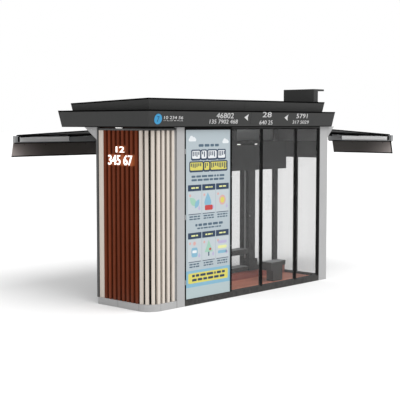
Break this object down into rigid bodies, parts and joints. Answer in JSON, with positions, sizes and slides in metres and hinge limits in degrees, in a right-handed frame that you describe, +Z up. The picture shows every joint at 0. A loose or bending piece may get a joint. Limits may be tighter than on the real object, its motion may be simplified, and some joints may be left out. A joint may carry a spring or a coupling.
{
  "type": "bus shelter",
  "caption": "Glazed bus shelter with a slatted end wall, a poster case, a flared tiered roof and cantilevered awnings over an open back doorway.",
  "frame": {"origin": "centre of the ground footprint of the walls, on the ground", "axes": "+X along the glazed front to the right end, +Y from the front to the back, +Z up"},
  "size_m": [6.2738, 3.1788, 3.225],
  "materials": {
    "light_panel": "satin powder coat",
    "wall_panel": "matt powder coat",
    "dark_frame": "satin powder coat",
    "grey_frame": "satin powder coat",
    "roof_metal": "satin powder coat",
    "awning_panel": "satin powder coat",
    "awning_frame": "satin powder coat",
    "red_slats": "stained, satin",
    "beige_slats": "satin powder coat",
    "deck_boards": "oiled boards",
    "clear_glass": "polished",
    "smoked_sheet": "smoked, semi-gloss",
    "poster_face": "printed, satin",
    "lit_face": "lit from inside",
    "lamp_face": "frosted",
    "seat_grey": "matt"
  },
  "bodies": {
    "root": {"base_plate": "dark_frame", "floor_deck": "deck_boards", "plinth": "light_panel", "left_wall": "wall_panel", "corner_wall": "wall_panel", "rear_jamb": "grey_frame", "red_slats": "red_slats", "beige_slats": "beige_slats", "slat_rail": "light_panel", "lit_sign": "lit_face", "lamps": "lamp_face", "front_post": "light_panel", "front_column": "light_panel", "front_rails": "dark_frame", "front_mullions": "dark_frame", "front_glass": "clear_glass", "poster_case": "dark_frame", "poster_panel": "poster_face", "room_sills": "dark_frame", "end_frame": "grey_frame", "end_glass": "clear_glass", "back_posts": "grey_frame", "back_transom": "grey_frame", "back_glass": "clear_glass", "kick_board": "deck_boards", "window_ledge": "grey_frame", "header_box": "grey_frame", "service_column": "grey_frame", "perch_seat": "seat_grey", "stool": "seat_grey", "ceiling": "roof_metal", "roof_fascia": "roof_metal", "roof_ledge": "roof_metal", "crown_fascia": "roof_metal", "crown_sheet": "roof_metal", "roof_cowl": "roof_metal", "cowl_cap": "roof_metal", "back_awning_sheet": "awning_panel", "back_awning_frame": "awning_frame", "back_awning_skirt": "smoked_sheet", "end_awning_sheet": "awning_panel", "end_awning_frame": "awning_frame", "end_awning_skirt": "smoked_sheet", "awning_brackets": "light_panel"}
  },
  "joints": []
}
